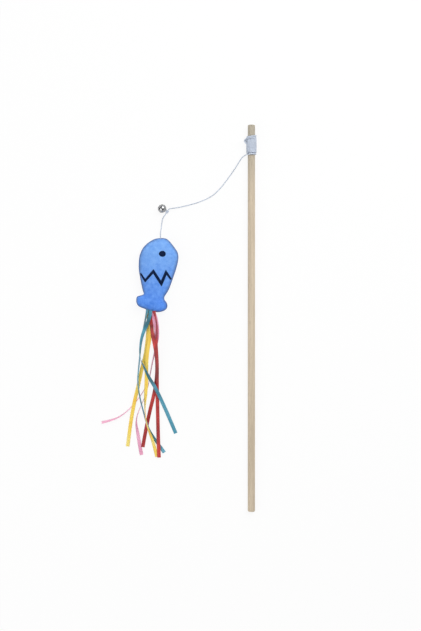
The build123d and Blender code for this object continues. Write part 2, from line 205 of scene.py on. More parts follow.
sky = bpy.data.worlds.new("sky")
scene.world = sky
sky.use_nodes = True
tree = sky.node_tree
direction = tree.nodes.new("ShaderNodeTexCoord").outputs["Generated"]
fade = tree.nodes.new("ShaderNodeValToRGB")
fade.color_ramp.elements[0].position = fade_start
fade.color_ramp.elements[0].color = (1, 1, 1, 1)
fade.color_ramp.elements[1].position = fade_end
fade.color_ramp.elements[1].color = (overhead_grey, overhead_grey, overhead_grey, 1)
set_inputs(tree, fade, Fac=axes_of(tree, direction)["Z"])
set_inputs(tree, tree.nodes["Background"], Color=fade.outputs["Color"], Strength=sky_strength)


def soft_box(name, place, size, power):
    """A square lamp that points at the middle of the table."""
    lamp = bpy.data.lights.new(name, "AREA")
    lamp.shape = "SQUARE"
    lamp.size = size
    lamp.energy = power
    holder = bpy.data.objects.new(name, lamp)
    holder.location = place
    holder.rotation_euler = (-Vector(place)).to_track_quat("-Z", "Y").to_euler()
    scene.collection.objects.link(holder)


soft_box("main_box", place=(0.50, 0.70, 1.10), size=1.1, power=14.4)
soft_box("fill_box", place=(-0.75, -0.35, 0.95), size=1.0, power=5.4)

table_bm = bmesh.new()
bmesh.ops.create_grid(table_bm, x_segments=1, y_segments=1, size=table_size / 2)
bmesh.ops.translate(table_bm, vec=(0, 0, -table_drop), verts=table_bm.verts)
table_mesh = bpy.data.meshes.new("table")
table_bm.to_mesh(table_mesh)
table_bm.free()
table = bpy.data.objects.new("table", table_mesh)
scene.collection.objects.link(table)

paper = bpy.data.materials.new("white_table")
paper.use_nodes = True
tree = paper.node_tree
tree.nodes.remove(tree.nodes["Principled BSDF"])
plain = tree.nodes.new("ShaderNodeBsdfDiffuse")
set_inputs(tree, plain, Color=(paper_white, paper_white, paper_white, 1))
white = tree.nodes.new("ShaderNodeEmission")
ray = tree.nodes.new("ShaderNodeLightPath")
seen_or_mirrored = math_node(tree, "MAXIMUM", ray.outputs["Is Camera Ray"], ray.outputs["Is Glossy Ray"])
straight = math_node(tree, "MAXIMUM", seen_or_mirrored, ray.outputs["Is Transmission Ray"])
mixed = tree.nodes.new("ShaderNodeMixShader")
set_inputs(tree, mixed, Fac=math_node(tree, "MULTIPLY", straight, 1 - shadow_share))
tree.links.new(plain.outputs[0], mixed.inputs[1])
tree.links.new(white.outputs[0], mixed.inputs[2])
set_inputs(tree, tree.nodes["Material Output"], Surface=mixed.outputs[0])
table.data.materials.append(paper)
print("table", table_size, "m wide")

# %% [markdown]
# ## Smooth lines
#
# Cord, ribbon, thread and seam are all lines with something swept along them. All but the seam are NURBS
# splines, with control points given one by one or made in a loop. The order and the end rule are set after
# the points are added, because set before, the spline stays at straight runs. Blender then sweeps a round or
# flat section along it, and the mesh carries a UV map: once along the line and once round the section.

# %% Lines and what is swept along them
def vectors(*rows):
    """Places from rows of numbers."""
    return [Vector(row) for row in rows]


def nurbs_line(name, places, closed=False, turns=None):
    """A curve with one spline whose control points are the given places."""
    line = bpy.data.curves.new(name, "CURVE")
    line.dimensions = "3D"
    line.twist_mode = "Z_UP"
    line.resolution_u = 10
    line.use_fill_caps = True
    add_spline(line, places, closed, turns)
    return line


def add_spline(line, places, closed=False, turns=None):
    """One more spline in a curve, smooth from end to end."""
    spline = line.splines.new("NURBS")
    spline.points.add(len(places) - 1)
    for point, place in zip(spline.points, places):
        point.co = (*place, 1)
    if turns:
        for point, turn in zip(spline.points, turns):
            point.tilt = radians(turn)
    spline.order_u = 3
    spline.use_endpoint_u = not closed
    spline.use_cyclic_u = closed


def shown_mesh(holder):
    """The mesh that an object shows, with its modifiers."""
    return bpy.data.meshes.new_from_object(holder.evaluated_get(bpy.context.evaluated_depsgraph_get()))


def mesh_of(line):
    """The mesh that a curve shows."""
    holder = bpy.data.objects.new(line.name, line)
    scene.collection.objects.link(holder)
    mesh = shown_mesh(holder)
    bpy.data.objects.remove(holder)
    return mesh


def round_mesh(line, diameter):
    """The mesh of a line with a round section."""
    line.bevel_depth = diameter / 2
    line.bevel_resolution = 4
    return mesh_of(line)


def points_of(places):
    """Points along a line's smooth spline, close together, from start to end."""
    bare = mesh_of(nurbs_line("bare_line", places))
    return [vertex.co.copy() for vertex in bare.vertices]


def length_of(points):
    """The length of a row of points."""
    return sum((after - before).length for before, after in zip(points, points[1:]))


def stretch_uv(mesh, along, around):
    """Make the UV map count pattern repeats: so many along the line, so many round the section."""
    for corner in mesh.uv_layers[0].data:
        corner.uv = (corner.uv[0] * along, corner.uv[1] * around)


def give_finish(mesh, material):
    """Put a material on a mesh in place of those that it has."""
    mesh.materials.clear()
    mesh.materials.append(material)


def piece_of(name, mesh, material, body):
    """A finished piece: a mesh in place, with its material. Without a body it is left unattached."""
    mesh.name = name
    give_finish(mesh, material)
    mesh.polygons.foreach_set("use_smooth", [True] * len(mesh.polygons))
    piece = bpy.data.objects.new(name, mesh)
    scene.collection.objects.link(piece)
    if body:
        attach(piece, body)
    return piece


print("line tools ready")

# %% [markdown]
# ## Effects that several finishes share
#
# Cloth, wood and cord all vary a little from place to place, so one node group mixes two colours by two
# sizes of noise. Cord and sewing thread are both made of strands that slant round them, so a second group
# draws slanting strands on a UV map. Each group only puts out what changes over the surface. Anything
# uniform stays on the shader.

# %% Node groups: mottling and slanting strands
def new_group(name, inputs, outputs):
    """A shader node group with named sockets, and its own input and output nodes."""
    group = bpy.data.node_groups.new(name, "ShaderNodeTree")
    for socket, kind in inputs:
        group.interface.new_socket(socket, in_out="INPUT", socket_type=kind)
    for socket, kind in outputs:
        group.interface.new_socket(socket, in_out="OUTPUT", socket_type=kind)
    return group, group.nodes.new("NodeGroupInput"), group.nodes.new("NodeGroupOutput")


mottle, mottle_in, mottle_out = new_group(
    "mottle",
    [("Vector", "NodeSocketVector"), ("Patch Scale", "NodeSocketFloat"), ("Fibre Scale", "NodeSocketFloat"),
     ("Dark", "NodeSocketColor"), ("Light", "NodeSocketColor")],
    [("Color", "NodeSocketColor"), ("Height", "NodeSocketFloat")],
)
patches = noise_node(mottle, mottle_in.outputs["Vector"], mottle_in.outputs["Patch Scale"], 3.0)
fibres = noise_node(mottle, mottle_in.outputs["Vector"], mottle_in.outputs["Fibre Scale"], 2.0, 0.7)
both = math_node(mottle, "MULTIPLY_ADD", patches, 0.6, math_node(mottle, "MULTIPLY", fibres, 0.4))
light_share = ramp_node(mottle, both, 0.32, 0.68)
mottled = mix_colour(mottle, light_share, mottle_in.outputs["Dark"], mottle_in.outputs["Light"])
set_inputs(mottle, mottle_out, Color=mottled, Height=both)

strands, strands_in, strands_out = new_group(
    "slanting_strands",
    [("Vector", "NodeSocketVector"), ("Slant", "NodeSocketFloat")],
    [("Height", "NodeSocketFloat")],
)
axes = axes_of(strands, strands_in.outputs["Vector"])
slanted = math_node(strands, "MULTIPLY_ADD", axes["X"], strands_in.outputs["Slant"], axes["Y"])
wave = math_node(strands, "SINE", math_node(strands, "MULTIPLY", slanted, tau))
set_inputs(strands, strands_out, Height=math_node(strands, "MULTIPLY_ADD", wave, 0.5, 0.5))
print("groups", [group.name for group in bpy.data.node_groups])

# %% [markdown]
# ## Finishes
#
# Every finish is a Principled BSDF whose colour, roughness and normal come from nodes. The patterns read
# Object coordinates where they are bound to the place, as grain is in a stick, and the UV map where they
# follow a line, as braid does along a cord.

# %% Helpers for finishes
def new_finish(name):
    """A material with nodes, its tree, its shader and its coordinates."""
    material = bpy.data.materials.new(name)
    material.use_nodes = True
    tree = material.node_tree
    return material, tree, tree.nodes["Principled BSDF"], tree.nodes.new("ShaderNodeTexCoord")


def use_group(tree, group, **values):
    """A node group placed in a material, with its inputs by name."""
    node = tree.nodes.new("ShaderNodeGroup")
    node.node_tree = group
    return set_inputs(tree, node, **values)


print("finish tools ready")

# %% [markdown]
# ### Wood
#
# The stick is a pale dowel, sanded and left bare. Its grain runs along it, so noise is squeezed across the
# stick and drawn out along it: broad bands of warmer and greyer wood, fine streaks, and short dark pores.
# The wood turns greyer towards the tip. Bare wood scatters light, so it stays rough, a little less so on the
# dense streaks.

# %% Wood finish
wood, tree, shader, coordinates = new_finish("bare_wood")
place = coordinates.outputs["Object"]
bands = noise_node(tree, mapped(tree, place, (60, 7, 60)), 1.0, 2.0)
streaks = noise_node(tree, mapped(tree, place, (620, 18, 620)), 1.0, 4.0, 0.6)
pores = noise_node(tree, mapped(tree, place, (2600, 150, 2600)), 1.0, 1.0)
pore_mask = ramp_node(tree, pores, 0.67, 0.78)
banded = mix_colour(tree, ramp_node(tree, bands, 0.3, 0.7), (0.60, 0.505, 0.375, 1), (0.70, 0.590, 0.447, 1))
streak_mask = math_node(tree, "MULTIPLY", ramp_node(tree, streaks, 0.38, 0.70), 0.6)
streaked = mix_colour(tree, streak_mask, banded, (0.47, 0.385, 0.28, 1))
# The wood is mixed greyer towards the tip.
tip_mask = math_node(tree, "MULTIPLY", ramp_node(tree, axes_of(tree, place)["Y"], 0.13, 0.20), 0.75)
greyed = mix_colour(tree, tip_mask, streaked, (0.395, 0.365, 0.295, 1))
pored = mix_colour(tree, math_node(tree, "MULTIPLY", pore_mask, 0.55), greyed, (0.22, 0.15, 0.09, 1))
rough = math_node(tree, "MULTIPLY_ADD", streaks, -0.25, 0.78)
set_inputs(tree, shader, Base_Color=pored, Roughness=rough, Specular_IOR_Level=0.3)
grain = math_node(tree, "SUBTRACT", math_node(tree, "MULTIPLY", streaks, 0.6), pore_mask)
bump(tree, shader, grain, 0.00012, 0.6)
give_finish(nodes["stick"].data, wood)
print("stick finished in", wood.name)

# %% [markdown]
# ### Elastic cord
#
# The cord is a thin braided elastic, off-white. Two sets of strands slant round it, one each way, and cross.
# The larger of the two heights is the strand that lies on top, and the dips between strands are painted a
# darker grey, as shade.

# %% Cord finish
elastic, tree, shader, coordinates = new_finish("elastic_cord")
left_hand = use_group(tree, strands, Vector=coordinates.outputs["UV"], Slant=1.0).outputs["Height"]
right_hand = use_group(tree, strands, Vector=coordinates.outputs["UV"], Slant=-1.0).outputs["Height"]
braid = math_node(tree, "MAXIMUM", left_hand, right_hand)
fuzz = use_group(tree, mottle, Vector=coordinates.outputs["Object"], Patch_Scale=120.0, Fibre_Scale=2600.0,
                 Dark=(0.55, 0.62, 0.74, 1), Light=(0.71, 0.77, 0.87, 1))
# Painted shade: the dips between strands are mixed darker than the ridges.
shaded = mix_colour(tree, ramp_node(tree, braid, 0.45, 0.9), (0.42, 0.475, 0.58, 1), fuzz.outputs["Color"])
rough = math_node(tree, "MULTIPLY_ADD", braid, -0.2, 0.75)
set_inputs(tree, shader, Base_Color=shaded, Roughness=rough, Sheen_Weight=0.15)
bump(tree, shader, braid, 0.00012)
print("cord finish ready")

# %% [markdown]
# ### Plated metal
#
# The bell is pressed sheet with a bright plating. It is all mirror, with faint smudges that roughen the
# mirror here and there and a trace of orange-peel relief, as on any cheap plated part. The pellet inside is
# plain steel.

# %% Metal finishes
plating, tree, shader, coordinates = new_finish("bright_plating")
smudges = noise_node(tree, coordinates.outputs["Object"], 420.0, 3.0)
ripple = noise_node(tree, coordinates.outputs["Object"], 900.0, 1.0)
worn = mix_colour(tree, ramp_node(tree, smudges, 0.45, 0.75), (0.44, 0.445, 0.455, 1), (0.30, 0.30, 0.31, 1))
rough = math_node(tree, "MULTIPLY_ADD", smudges, 0.16, 0.03)
set_inputs(tree, shader, Base_Color=worn, Roughness=rough, Metallic=1.0, Specular_Tint=(0.30, 0.30, 0.31, 1))
bump(tree, shader, ripple, 0.00004, 0.5)

steel, tree, shader, coordinates = new_finish("plain_steel")
scuffs = noise_node(tree, coordinates.outputs["Object"], 1500.0, 2.0)
dulled = mix_colour(tree, scuffs, (0.30, 0.30, 0.31, 1), (0.52, 0.52, 0.53, 1))
rough = math_node(tree, "MULTIPLY_ADD", scuffs, 0.25, 0.25)
set_inputs(tree, shader, Base_Color=dulled, Roughness=rough, Metallic=1.0)

for name in ("bell_cap", "bell_cup", "bell_loop"):
    give_finish(nodes[name].data, plating)
give_finish(nodes["bell_pellet"].data, steel)
print("metal finishes ready")

# %% [markdown]
# ### Plush
#
# The fish is sewn from a short plush: a soft pile that mottles lighter and darker as the fibres lean. Light
# and shade are painted into its colour: it is lighter towards the head and deeper towards the tail, and a
# painted shade darkens it along the seam, all round the rim.

# %% Plush finish
plush, tree, shader, coordinates = new_finish("blue_plush")
where = axes_of(tree, coordinates.outputs["Object"])
# Painted light and shade: the pile is lighter towards the head and deeper towards the tail.
painted_light_to_head = ramp_node(tree, where["Y"], 0.010, 0.070)
dark_pile = mix_colour(tree, painted_light_to_head, (0.050, 0.192, 0.77, 1), (0.128, 0.322, 0.81, 1))
light_pile = mix_colour(tree, painted_light_to_head, (0.140, 0.358, 0.95, 1), (0.252, 0.488, 0.93, 1))
pile = use_group(tree, mottle, Vector=coordinates.outputs["Object"], Patch_Scale=260.0, Fibre_Scale=1200.0,
                 Dark=dark_pile, Light=light_pile)
# Painted shade: a darker band along the seam, all round the rim of the fish.
over_seam = math_node(tree, "SUBTRACT", where["Z"], pivots["fish_swing"].z)
off_seam = ramp_node(tree, math_node(tree, "ABSOLUTE", over_seam), 0.0009, 0.0034)
painted_seam_shade = math_node(tree, "MULTIPLY", math_node(tree, "SUBTRACT", 1.0, off_seam), 0.75)
seam_shaded = mix_colour(tree, painted_seam_shade, pile.outputs["Color"], (0.085, 0.155, 0.36, 1))
rough = math_node(tree, "MULTIPLY_ADD", pile.outputs["Height"], 0.2, 0.75)
set_inputs(tree, shader, Base_Color=seam_shaded, Roughness=rough, Specular_IOR_Level=0.15, Sheen_Weight=0.1,
           Sheen_Roughness=0.6, Sheen_Tint=(0.62, 0.78, 1.0, 1))
bump(tree, shader, pile.outputs["Height"], 0.0009, 0.55)
print("plush finish ready")

# %% [markdown]
# ### Sewing thread
#
# Eye and zigzag are sewn in navy thread, and the fish's seam and the ribbons' stitch in a blue one. Both are
# twisted one way, so they use the slanting strands once, and each thread is painted darker in the grooves
# between its strands, as shade.

# %% Thread finishes
def thread_finish(name, dark, light):
    """Sewing thread: strands that slant one way round it."""
    material, tree, shader, coordinates = new_finish(name)
    twist = use_group(tree, strands, Vector=coordinates.outputs["UV"], Slant=1.0).outputs["Height"]
    # Painted shade: the grooves between strands are darker, the ridges lighter.
    groove_shaded = mix_colour(tree, twist, dark, light)
    rough = math_node(tree, "MULTIPLY_ADD", twist, -0.15, 0.55)
    set_inputs(tree, shader, Base_Color=groove_shaded, Roughness=rough, Specular_IOR_Level=0.1)
    bump(tree, shader, twist, 0.00005)
    return material


navy_thread = thread_finish("navy_thread", (0.001, 0.007, 0.030, 1), (0.003, 0.016, 0.070, 1))
seam_thread = thread_finish("seam_thread", (0.06, 0.115, 0.29, 1), (0.10, 0.19, 0.45, 1))
give_finish(nodes["ribbon_stitch"].data, seam_thread)
print("thread finishes ready")

# %% [markdown]
# ### Satin
#
# The ribbons are satin: long floats run along the ribbon, so it is smooth. Its shine and shade in bands are
# painted: each colour has a shaded, a middle and a lit tone, and slow waves along the ribbon lead from one to
# the next. The last number shifts the waves along, so that the shaded stretches come where the photograph has
# them.

# %% Satin finishes
def satin_finish(name, dark, middle, light, first_light_wave):
    """Satin ribbon: the UV map counts in centimetres along the ribbon and once round the section."""
    material, tree, shader, coordinates = new_finish(name)
    floats = noise_node(tree, mapped(tree, coordinates.outputs["UV"], (2.2, 90, 1)), 1.0, 2.0, 0.6)
    shifted = mapped(tree, coordinates.outputs["UV"], (0.55, 0.6, 1), (first_light_wave, 0, 0))
    # Painted light and shade: slow waves lead from the shaded tone through the middle one to the lit one.
    painted_light_waves = noise_node(tree, shifted, 1.0, 1.5)
    deep = mix_colour(tree, ramp_node(tree, painted_light_waves, 0.30, 0.52), dark, middle)
    bright = mix_colour(tree, ramp_node(tree, painted_light_waves, 0.52, 0.72), deep, light)
    threaded = mix_colour(tree, math_node(tree, "MULTIPLY", floats, 0.25), bright, dark)
    rough = math_node(tree, "MULTIPLY_ADD", floats, 0.22, 0.26)
    set_inputs(tree, shader, Base_Color=threaded, Roughness=rough, Specular_IOR_Level=0.45, Sheen_Weight=0.12,
               Anisotropic=0.5)
    bump(tree, shader, floats, 0.00006, 0.8)
    return material


# For each colour: the painted shade tone, the middle tone, the painted highlight tone, and where its waves
# start.
satin_painted_tones = {
    "teal": ((0.022, 0.115, 0.150, 1), (0.078, 0.330, 0.460, 1), (0.175, 0.50, 0.66, 1), 9.2),
    "yellow": ((0.93, 0.58, 0.075, 1), (0.97, 0.71, 0.115, 1), (0.95, 0.80, 0.24, 1), 0.0),
    "red": ((0.22, 0.016, 0.016, 1), (0.50, 0.042, 0.042, 1), (0.80, 0.062, 0.052, 1), 4.4),
    "pink": ((0.70, 0.27, 0.42, 1), (0.85, 0.375, 0.55, 1), (0.92, 0.48, 0.65, 1), 0.0),
}
satins = {colour: satin_finish(colour + "_satin", *tones) for colour, tones in satin_painted_tones.items()}
print("satin finishes", sorted(satins))

# %% [markdown]
# ## The cord from the winding to the bell
#
# The cord leaves the winding at the stick's left side, comes down to the table in a long bend, lies there,
# and rises to the knot at the bell. The control points are those of the solid, chosen along the photograph.
# Near the winding the cord belongs to the stick and further on to the lure.

# %% Upper cord
cord_diameter = 0.00115
braid_length = 0.0008
strands_around = 3
knot_centre = Vector((-0.03240, 0.11737, 0.0048))
upper_places = [
    pivots["lure_swing"],
    *vectors(
        (0.0508, 0.1782, 0.0074), (0.0466, 0.1720, 0.0050), (0.0416, 0.1640, 0.0026),
        (0.0338, 0.1532, 0.00095), (0.0254, 0.1424, 0.00062), (0.0164, 0.1342, 0.00065),
        (0.0040, 0.1285, 0.00062), (-0.0086, 0.1248, 0.0007), (-0.0186, 0.1224, 0.0019),
        (-0.0262, 0.1211, 0.0038), (-0.0312, 0.1203, 0.0048),
    ),
    knot_centre,
]


def cord_mesh(name, places):
    """A round cord along a route, with its UV map counted in strands, and the points that it follows."""
    mesh = round_mesh(nurbs_line(name, places), cord_diameter)
    points = points_of(places)
    stretch_uv(mesh, length_of(points) / braid_length, strands_around)
    return mesh, points


upper_mesh, upper_points = cord_mesh("upper_cord_braid", upper_places)
upper_cord = piece_of("upper_cord_braid", upper_mesh, elastic, None)
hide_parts("upper_cord")
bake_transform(upper_cord)
print("upper cord", round(length_of(upper_points), 4), "m")

# %% [markdown]
# ## The knots
#
# The cord is tied round the wire of the bell's loop in an overhand knot. Drawn as a closed line, an overhand
# knot is a trefoil, and a few sines give it. Pulled tight, its lobes press on each other into a small lumpy
# ball. A second knot of the same kind, inside the fish's head, keeps the cord from pulling out.

# %% Knots
knot_reach = 0.00047
knot_depth = 0.00062
knot_steps = 18
knot_strands = 16
anchor_low, anchor_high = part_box("anchor_knot")
anchor_radius = (anchor_high.x - anchor_low.x) / 2
anchor_centre = Vector((pivots["fish_swing"].x, anchor_low.y + anchor_radius, pivots["fish_swing"].z))


def trefoil(step):
    """A point of the tight knot, measured from its middle."""
    angle = tau * step / knot_steps
    across = knot_reach * (sin(angle) + 2 * sin(2 * angle))
    along = knot_reach * (cos(angle) - 2 * cos(2 * angle))
    return Vector((across, along, -knot_depth * sin(3 * angle)))


def tied_knot(name, centre, body, node):
    """A tight overhand knot round a place, in the place of a node."""
    line = nurbs_line(name, [centre + trefoil(step) for step in range(knot_steps)], closed=True)
    mesh = round_mesh(line, cord_diameter)
    stretch_uv(mesh, knot_strands, strands_around)
    piece = piece_of(name, mesh, elastic, body)
    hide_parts(node)


tied_knot("bell_knot_tied", knot_centre, "upper_line", "bell_knot")
tied_knot("anchor_knot_tied", anchor_centre, "fish", "anchor_knot")
print("knot inside the head at", [round(value, 4) for value in anchor_centre])

# %% [markdown]
# ## The cord from the bell to the fish
#
# The same cord goes on from the knot at the bell to the knot inside the fish's head, so no cut end shows. It
# bends at two hinges: below the bell's knot and above the head. A piece can be blended over one hinge, so a
# short tail below the knot takes the first bend, and the cord goes on from the tail's end and takes the
# second.

# %% Lower cord
hidden_share = 0.3
bend_below = 0.0018
stub_start = knot_centre + (pivots["drop_swing"] - knot_centre) * hidden_share
hand_over = Vector((-0.03610, 0.11200, 0.00415))
tail_mesh, tail_points = cord_mesh("knot_tail_braid", [stub_start, pivots["drop_swing"], hand_over])
knot_tail = piece_of("knot_tail_braid", tail_mesh, elastic, None)
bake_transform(knot_tail)

bend_end = pivots["fish_swing"] - Vector((0, bend_below, 0))
lower_places = [
    hand_over,
    *vectors(
        (-0.03767, 0.10993, 0.00363), (-0.0386, 0.1032, 0.0029), (-0.0393, 0.0972, 0.0043),
        (-0.0398, 0.0926, 0.0068),
    ),
    pivots["fish_swing"],
    bend_end,
    anchor_centre,
]
lower_mesh, lower_points = cord_mesh("lower_cord_braid", lower_places)
lower_cord = piece_of("lower_cord_braid", lower_mesh, elastic, None)
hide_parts("lower_cord")
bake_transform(lower_cord)
print("lower cord", round(length_of(lower_points), 4), "m, its tail", round(length_of(tail_points), 4), "m")

# %% [markdown]
# ## The winding on the stick
#
# The cord's end is wound round the stick's tip in two layers: up in the inner layer, and down again over it,
# with the turns hard against each other. They are one line, made in a loop for each layer. Hand winding
# isn't even, so the outer turns wander a little, by sines that never repeat in step. The first turn at the
# top leans, and the last lies apart from the rest and leaves the stick towards the bell.

# %% Winding turns
stick_way = -Vector(mounts["stick_grip"]["axis"])
stick_middle = Vector(mounts["stick_grip"]["pos_m"])
stick_radius = mounts["stick_grip"]["dims"]["r_mm"] / 1000
winding_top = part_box("cord_winding")[1].y
stick_left = Vector((-1, 0, 0))
stick_up = stick_way.cross(stick_left)
exit_angle = radians(55.0)
inner_turns = 15
outer_turns = 18.5
steps_in_turn = 16
inner_spread = 0.0198
outer_spread = 0.0186
turn_top = winding_top - cord_diameter / 2
inner_lift = 0.00046
outer_lift = 0.00125
wound_diameter = 0.0012
slow_wander = 0.00010
quick_wander = 0.00007
reach_wander = 0.00008
loose_turns = 1.3
loose_gap = 0.0011
slanting_turns = 1.2
top_slant = 0.0007


def round_stick(angle, reach, along_y):
    """A place round the stick: angle 0 is its left side and a quarter turn is its top."""
    middle = stick_middle + stick_way * ((along_y - stick_middle.y) / stick_way.y)
    return middle + reach * (cos(angle) * stick_left + sin(angle) * stick_up)


wound_places = []
for step in range(inner_turns * steps_in_turn):
    share = step / (inner_turns * steps_in_turn)
    angle = exit_angle + tau * (outer_turns + inner_turns * (1 - share))
    wound_places.append(round_stick(angle, stick_radius + inner_lift, turn_top - inner_spread * (1 - share)))
last_step = round(outer_turns * steps_in_turn)
for step in range(last_step + 1):
    turn = step / steps_in_turn
    angle = exit_angle + tau * (outer_turns - turn)
    wander = slow_wander * sin(2.3 * turn) + quick_wander * sin(6.1 * turn + 1)
    apart = loose_gap * max(0.0, turn - outer_turns + loose_turns)
    lean = top_slant * max(0.0, slanting_turns - turn) * cos(angle)
    along_y = turn_top - outer_spread * turn / outer_turns + wander - apart - lean
    reach = stick_radius + outer_lift + reach_wander * sin(3.7 * turn)
    wound_places.append(round_stick(angle, reach, along_y))
wound_places.append(pivots["lure_swing"])

winding_line = nurbs_line("winding_line", wound_places)
winding_line.resolution_u = 3
winding_mesh = round_mesh(winding_line, wound_diameter)
stretch_uv(winding_mesh, length_of(points_of(wound_places)) / braid_length, strands_around)
winding = piece_of("winding_turns", winding_mesh, elastic, "wand")
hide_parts("cord_winding", "winding_core")
print("winding", len(winding.data.polygons), "faces")

# %% [markdown]
# ## The tucked end
#
# The cord's end crosses the finished turns at the winding's upper left, twice. One crossing lies tight on
# the turns. The other stands off at the side in a small loop before it is tucked under, with a dark gap
# inside it.

# %% Tucked end
loop_places = vectors(
    (0.0634, 0.1979, 0.0112), (0.0606, 0.1986, 0.0124), (0.0575, 0.1984, 0.0122),
    (0.0547, 0.1973, 0.0110), (0.0527, 0.1958, 0.0096), (0.0522, 0.1943, 0.0087),
    (0.0530, 0.1930, 0.0081), (0.0543, 0.1920, 0.0074), (0.0555, 0.1913, 0.0068),
)
crossing_places = vectors(
    (0.0642, 0.1966, 0.0102), (0.0616, 0.1974, 0.0120), (0.0583, 0.1975, 0.0121),
    (0.0556, 0.1968, 0.0108), (0.0536, 0.1956, 0.0086), (0.0537, 0.1943, 0.0060),
    (0.0556, 0.1936, 0.0042),
)
loop_mesh, loop_points = cord_mesh("tucked_loop", loop_places)
loop = piece_of("tucked_loop", loop_mesh, elastic, "wand")
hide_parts("winding_tuck")
crossing_mesh, crossing_points = cord_mesh("crossing_strand", crossing_places)
piece_of("crossing_strand", crossing_mesh, elastic, "wand")
print("loop", round(length_of(loop_points), 4), "m, crossing", round(length_of(crossing_points), 4), "m")

# %% [markdown]
# ## The fish
#
# The fish is two cloth panels sewn together along their outline and stuffed. Drawing its bulging form by
# hand would give a balloon. Instead the outline is drawn flat, given a little thickness, and pumped up as
# cloth with the seam held, which makes the pile swell where the fish is wide and draw in at the waist. Cloth
# settles best at the size of a cushion, so the fish is simulated much larger and brought back to size.

# %% Outline of the fish
seam_height = pivots["fish_swing"].z
fish_outline = [
    (-0.0400, 0.0875), (-0.0454, 0.0867), (-0.0497, 0.0847), (-0.0553, 0.0805), (-0.0589, 0.0763),
    (-0.0610, 0.0719), (-0.0623, 0.0678), (-0.0630, 0.0604), (-0.0630, 0.0539), (-0.0618, 0.0458),
    (-0.0601, 0.0370), (-0.0585, 0.0300), (-0.0577, 0.0268), (-0.0594, 0.0254), (-0.0621, 0.0246),
    (-0.0650, 0.0234), (-0.0658, 0.0200), (-0.0654, 0.0167), (-0.0634, 0.0138), (-0.0576, 0.0112),
    (-0.0512, 0.0088), (-0.0450, 0.0074), (-0.0387, 0.0078), (-0.0338, 0.0104), (-0.0325, 0.0137),
    (-0.0334, 0.0170), (-0.0358, 0.0207), (-0.0358, 0.0236), (-0.0340, 0.0266), (-0.0314, 0.0308),
    (-0.0287, 0.0374), (-0.0257, 0.0461), (-0.0228, 0.0548), (-0.0208, 0.0635), (-0.0205, 0.0677),
    (-0.0213, 0.0720), (-0.0240, 0.0764), (-0.0272, 0.0807), (-0.0307, 0.0848), (-0.0340, 0.0870),
]


def outline_curve(name, half_thickness):
    """The fish's outline as a smooth flat curve through its points, filled if it has a thickness."""
    curve = bpy.data.curves.new(name, "CURVE")
    curve.dimensions = "2D"
    curve.resolution_u = 6
    curve.fill_mode = "BOTH" if half_thickness else "NONE"
    curve.extrude = half_thickness
    spline = curve.splines.new("BEZIER")
    spline.bezier_points.add(len(fish_outline) - 1)
    for point, place in zip(spline.bezier_points, fish_outline):
        point.co = (*place, 0)
        point.handle_left_type = "AUTO"
        point.handle_right_type = "AUTO"
    spline.use_cyclic_u = True
    return curve


print("outline", len(fish_outline), "points")

# %% [markdown]
# ### Stuffing
#
# The outline becomes a thin slab of even quads. A vertex group holds the seam, and pressure from inside
# blows up the rest. Where the cloth would swell too far, the shift of each vertex is capped.

# %% Pump the fish up
enlarged = 20.0
voxel = 0.0013
half_slab = 0.0026
seam_band = 0.0007
swell_cap = 0.0068
settle_frames = 20
weld_distance = 1e-6

slab = mesh_of(outline_curve("slab", half_slab))
slab_bm = bmesh.new()
slab_bm.from_mesh(slab)
bmesh.ops.remove_doubles(slab_bm, verts=slab_bm.verts, dist=weld_distance)
bmesh.ops.recalc_face_normals(slab_bm, faces=slab_bm.faces)
bmesh.ops.scale(slab_bm, vec=(enlarged, enlarged, enlarged), verts=slab_bm.verts)
slab_bm.to_mesh(slab)
slab_bm.free()
pillow = bpy.data.objects.new("pillow", slab)
scene.collection.objects.link(pillow)
remesh = pillow.modifiers.new("even_quads", "REMESH")
remesh.mode = "VOXEL"
remesh.voxel_size = voxel * enlarged
even = shown_mesh(pillow)
pillow.modifiers.clear()
pillow.data = even
start_places = [vertex.co.copy() for vertex in even.vertices]
held = pillow.vertex_groups.new(name="seam")
on_seam = [vertex.index for vertex in even.vertices if abs(vertex.co.z) < seam_band * enlarged]
held.add(on_seam, 1.0, "REPLACE")
print("cloth", len(even.vertices), "vertices")

cloth = pillow.modifiers.new("cloth", "CLOTH")
cloth.settings.quality = 6
cloth.settings.mass = 0.02
cloth.settings.tension_stiffness = 1.5
cloth.settings.compression_stiffness = 1.5
cloth.settings.shear_stiffness = 1
cloth.settings.bending_stiffness = 0.3
cloth.settings.use_pressure = True
cloth.settings.uniform_pressure_force = 7
cloth.settings.vertex_group_mass = held.name
cloth.settings.effector_weights.gravity = 0
for number in range(1, settle_frames + 1):
    scene.frame_set(number)
settled = shown_mesh(pillow)
pillow.modifiers.clear()
swells = []
for vertex, start in zip(settled.vertices, start_places):
    shift = (vertex.co - start) / enlarged
    swells.append(shift.length)
    vertex.co = start + shift * (swell_cap / max(shift.length, swell_cap)) * enlarged
pillow.data = settled
scene.frame_set(1)
mean_swell = sum(swells) / len(swells)
print("most swell", round(max(swells) * 1000, 2), "mm, mean", round(mean_swell * 1000, 2), "mm")

# %% [markdown]
# ### Back to size
#
# The settled cloth is brought back to size, smoothed once, and lifted to the height of its seam. What would
# sink into the table lies flat on it.

# %% Bring the fish back to size and finish it
smoothing = 0.4
least_height = 0.0002

